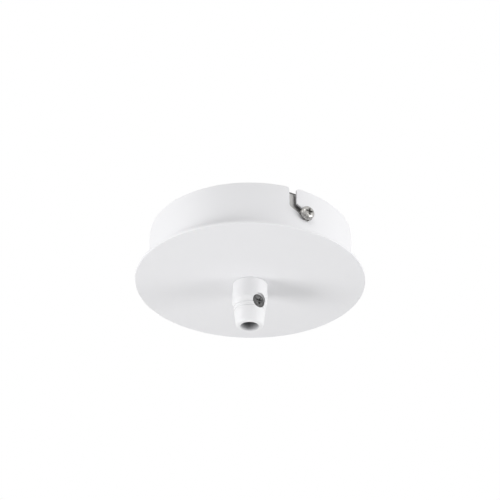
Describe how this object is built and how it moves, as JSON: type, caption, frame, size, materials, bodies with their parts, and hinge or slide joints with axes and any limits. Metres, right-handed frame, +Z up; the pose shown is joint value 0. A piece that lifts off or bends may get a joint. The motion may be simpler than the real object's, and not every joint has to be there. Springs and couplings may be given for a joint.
{
  "type": "ceiling rose",
  "caption": "Round white ceiling canopy with a wider face disc, hung on a ceiling strap by side screws in J-slots, with a central clamping cord grip and a terminal block inside.",
  "frame": {"origin": "centre of the ceiling plane, where the strap's top and the cup's rim lie", "axes": "+Z up into the ceiling, the object hangs below; +Y along the strap, away from the side screw that the picture shows; +X to that screw's right"},
  "size_m": [0.1, 0.1, 0.0437],
  "materials": {
    "white_metal": "satin",
    "white_plastic": "satin",
    "zinc_steel": "satin",
    "nickel_steel": "polished",
    "dark_steel": "satin",
    "brass": "satin",
    "terminal_steel": "satin",
    "block_plastic": "satin"
  },
  "bodies": {
    "strap": {"ceiling_bracket": "zinc_steel", "terminal_housing": "block_plastic", "block_screw_front": "nickel_steel", "block_screw_back": "nickel_steel", "strap_earth_washer": "zinc_steel", "terminal_tube_front": "brass", "terminal_tube_middle": "brass", "terminal_tube_back": "brass"},
    "drop_carrier": {"threaded_tube": "zinc_steel"},
    "canopy": {"face_disc": "white_metal", "canopy_cup": "white_metal", "cord_grip_body": "white_plastic", "tube_washer": "zinc_steel", "tube_nut": "zinc_steel", "cup_earth_stud": "zinc_steel", "cup_earth_washer": "zinc_steel"},
    "clamp_pad": {"clamp_pad": "block_plastic"},
    "clamp_screw": {"clamp_screw": "dark_steel"},
    "strap_earth_screw": {"strap_earth_screw": "nickel_steel"},
    "cup_earth_nut": {"cup_earth_nut": "zinc_steel"},
    "side_washer_front": {"side_washer_front": "nickel_steel"},
    "side_screw_front": {"side_screw_front": "nickel_steel"},
    "side_washer_back": {"side_washer_back": "nickel_steel"},
    "side_screw_back": {"side_screw_back": "nickel_steel"},
    "terminal_screw_front_lamp": {"terminal_screw_front_lamp": "terminal_steel"},
    "terminal_screw_front_supply": {"terminal_screw_front_supply": "terminal_steel"},
    "terminal_screw_middle_lamp": {"terminal_screw_middle_lamp": "terminal_steel"},
    "terminal_screw_middle_supply": {"terminal_screw_middle_supply": "terminal_steel"},
    "terminal_screw_back_lamp": {"terminal_screw_back_lamp": "terminal_steel"},
    "terminal_screw_back_supply": {"terminal_screw_back_supply": "terminal_steel"}
  },
  "joints": [
    {"name": "canopy_turn", "type": "hinge", "parent": "drop_carrier", "child": "canopy", "pos_m": [0, 0, 0], "axis": [0, 0, 1], "range_deg": [0, 7.2]},
    {"name": "canopy_drop", "type": "slide", "parent": "strap", "child": "drop_carrier", "axis": [0, 0, -1], "range_m": [0, 0.0035]},
    {"name": "clamp_pad_slide", "type": "slide", "parent": "canopy", "child": "clamp_pad", "axis": [-0.1132, 0.9936, 0], "range_m": [0, 0.002]},
    {"name": "clamp_screw_turn", "type": "hinge", "parent": "clamp_pad", "child": "clamp_screw", "pos_m": [0, 0, -0.03385], "axis": [-0.1132, 0.9936, 0], "range_deg": [0, 720]},
    {"name": "side_washer_front_slide", "type": "slide", "parent": "strap", "child": "side_washer_front", "axis": [0, -1, 0], "range_m": [0, 0.0015]},
    {"name": "side_screw_front_turn", "type": "hinge", "parent": "side_washer_front", "child": "side_screw_front", "pos_m": [0, 0, -0.0119], "axis": [0, -1, 0], "range_deg": [0, 1080]},
    {"name": "side_washer_back_slide", "type": "slide", "parent": "strap", "child": "side_washer_back", "axis": [0, 1, 0], "range_m": [0, 0.0015]},
    {"name": "side_screw_back_turn", "type": "hinge", "parent": "side_washer_back", "child": "side_screw_back", "pos_m": [0, 0, -0.0119], "axis": [0, 1, 0], "range_deg": [0, 1080]},
    {"name": "terminal_screw_front_lamp_travel", "type": "slide", "parent": "strap", "child": "terminal_screw_front_lamp", "axis": [0, 0, 1], "range_m": [0, 0.0019]},
    {"name": "terminal_screw_front_supply_travel", "type": "slide", "parent": "strap", "child": "terminal_screw_front_supply", "axis": [0, 0, 1], "range_m": [0, 0.0019]},
    {"name": "terminal_screw_middle_lamp_travel", "type": "slide", "parent": "strap", "child": "terminal_screw_middle_lamp", "axis": [0, 0, 1], "range_m": [0, 0.0019]},
    {"name": "terminal_screw_middle_supply_travel", "type": "slide", "parent": "strap", "child": "terminal_screw_middle_supply", "axis": [0, 0, 1], "range_m": [0, 0.0019]},
    {"name": "terminal_screw_back_lamp_travel", "type": "slide", "parent": "strap", "child": "terminal_screw_back_lamp", "axis": [0, 0, 1], "range_m": [0, 0.0019]},
    {"name": "terminal_screw_back_supply_travel", "type": "slide", "parent": "strap", "child": "terminal_screw_back_supply", "axis": [0, 0, 1], "range_m": [0, 0.0019]},
    {"name": "strap_earth_screw_travel", "type": "slide", "parent": "strap", "child": "strap_earth_screw", "axis": [0, 0, -1], "range_m": [0, 0.0012]},
    {"name": "cup_earth_nut_travel", "type": "slide", "parent": "canopy", "child": "cup_earth_nut", "axis": [0, 0, 1], "range_m": [0, 0.003]}
  ],
  "couplings": [
    {"joint": "canopy_drop", "follows": "canopy_turn", "m_per_rad": 0.027852},
    {"joint": "clamp_screw_turn", "follows": "clamp_pad_slide", "rad_per_m": 6283},
    {"joint": "side_screw_front_turn", "follows": "side_washer_front_slide", "rad_per_m": 12566},
    {"joint": "side_screw_back_turn", "follows": "side_washer_back_slide", "rad_per_m": 12566}
  ]
}
